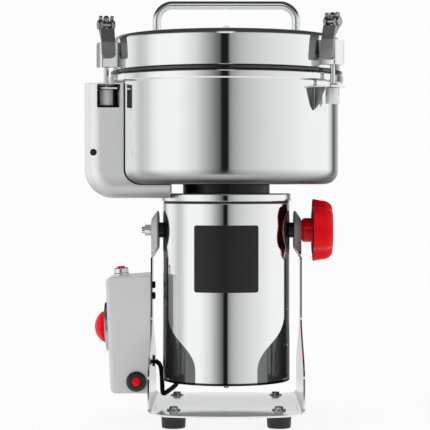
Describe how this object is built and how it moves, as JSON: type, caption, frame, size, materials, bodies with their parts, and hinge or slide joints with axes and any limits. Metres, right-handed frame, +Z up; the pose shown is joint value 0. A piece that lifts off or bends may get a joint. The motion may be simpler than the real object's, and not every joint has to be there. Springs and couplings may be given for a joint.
{
  "type": "electric grain mill",
  "caption": "Swing-type electric grain mill: a steel grinding bowl with a clamped lid on a motor that tilts between the arms of a sheet stand, with timer, switch and red lock knob.",
  "frame": {"origin": "middle of the bounding box on the floor that the feet stand on; the mill's own axis is at x = 0.013 m", "axes": "+Z up, -Y towards the viewer of the picture (the front), +X to the mill's right-hand knob"},
  "size_m": [0.306, 0.28, 0.5015],
  "materials": {
    "steel_polished": "polished stainless sheet",
    "steel_mirror": "mirror-polished stainless",
    "steel_bowl": "fine polished stainless",
    "steel_satin": "satin stainless sheet",
    "steel_chamber": "turned stainless",
    "steel_blade": "ground stainless",
    "steel_plated": "bright zinc plate",
    "steel_bearing": "ground bearing steel",
    "screw_steel": "plated screw",
    "screw_black": "blackened screw",
    "lever_zinc": "brushed dark zinc",
    "chrome": "bright chrome",
    "box_grey": "light grey paint",
    "cast_black": "black cast end shield",
    "copper_iron": "varnished laminations and windings",
    "plastic_red": "glossy red",
    "plastic_black": "black",
    "plastic_grey": "grey",
    "rubber_black": "black rubber",
    "silicone": "white silicone",
    "label_film": "plain printed film"
  },
  "bodies": {
    "stand": {"stand_frame": "steel_polished", "rubber_feet": "rubber_black", "foot_screws": "screw_steel", "box_screws": "screw_black", "control_box": "box_grey", "timer_body": "plastic_grey", "timer_dial_ring": "plastic_grey", "button_bezel": "chrome", "reset_boot": "plastic_black", "cord_gland": "plastic_black", "cable_grommet": "rubber_black"},
    "timer_knob": {"timer_knob": "plastic_red"},
    "power_button": {"power_button": "plastic_red"},
    "reset_button": {"reset_button": "plastic_red"},
    "head": {"motor_housing": "steel_mirror", "cap_gasket": "rubber_black", "motor_top_cap": "steel_polished", "motor_base": "cast_black", "base_screws": "screw_steel", "neck_ring": "plastic_black", "label_plate": "label_film", "stator": "copper_iron", "bearing_lower": "steel_bearing", "bearing_upper": "steel_bearing", "bowl": "steel_bowl", "chamber": "steel_chamber", "grind_liner": "steel_chamber", "shaft_seal": "rubber_black", "switch_cover": "steel_satin", "lid_switch": "plastic_black", "cover_screw": "screw_steel", "bowl_brackets": "steel_polished", "clamp_rods": "steel_plated", "clamp_nuts": "steel_plated", "pivot_spacers": "plastic_black", "pivot_bolt": "steel_plated", "pivot_nut": "steel_plated", "lock_stud": "steel_plated", "motor_cable": "rubber_black"},
    "rotor": {"rotor_shaft": "steel_bearing", "rotor_core": "copper_iron", "cooling_fan": "plastic_black", "blade_hub": "steel_bearing", "blades": "steel_blade", "blade_nut": "steel_plated"},
    "lid": {"lid_shell": "steel_mirror", "lid_plate": "steel_chamber", "lid_gasket": "silicone", "lid_handle": "steel_polished", "lid_nut": "steel_plated", "lid_brackets": "steel_polished", "bracket_rivets": "steel_plated", "lever_pins": "steel_plated", "dome_nuts": "steel_plated"},
    "left_lever": {"left_lever": "lever_zinc"},
    "right_lever": {"right_lever": "lever_zinc"},
    "tilt_knob": {"tilt_knob": "plastic_red"}
  },
  "joints": [
    {"name": "head_tilt", "type": "hinge", "parent": "stand", "child": "head", "pos_m": [0.013, 0, 0.227], "axis": [1, 0, 0], "range_deg": [0, 90], "deforming": ["motor_cable"]},
    {"name": "rotor_spin", "type": "hinge", "parent": "head", "child": "rotor", "pos_m": [0.013, 0, 0.2], "axis": [0, 0, 1], "continuous": true},
    {"name": "lid_lift", "type": "slide", "parent": "head", "child": "lid", "axis": [0, 0, 1], "range_m": [0, 0.12]},
    {"name": "left_lever_flip", "type": "hinge", "parent": "lid", "child": "left_lever", "pos_m": [-0.12806, -0.04312, 0.469], "axis": [-0.9563, -0.2924, 0], "range_deg": [0, 90]},
    {"name": "right_lever_flip", "type": "hinge", "parent": "lid", "child": "right_lever", "pos_m": [0.13528, -0.08248, 0.469], "axis": [-0.829, 0.5592, 0], "range_deg": [0, 90]},
    {"name": "tilt_knob_turn", "type": "hinge", "parent": "head", "child": "tilt_knob", "pos_m": [0.128, 0, 0.227], "axis": [1, 0, 0], "range_deg": [0, 180]},
    {"name": "timer_turn", "type": "hinge", "parent": "stand", "child": "timer_knob", "pos_m": [-0.1274, 0.008, 0.1107], "axis": [-0.9988, 0, -0.048], "range_deg": [-270, 0]},
    {"name": "power_button_push", "type": "slide", "parent": "stand", "child": "power_button", "axis": [0.0893, 0, -0.996], "range_m": [0, 0.003], "stiffness_N_per_m": 400, "springref_m": -0.001},
    {"name": "reset_button_push", "type": "slide", "parent": "stand", "child": "reset_button", "axis": [0, 1, 0], "range_m": [0, 0.003], "stiffness_N_per_m": 400, "springref_m": -0.001}
  ]
}
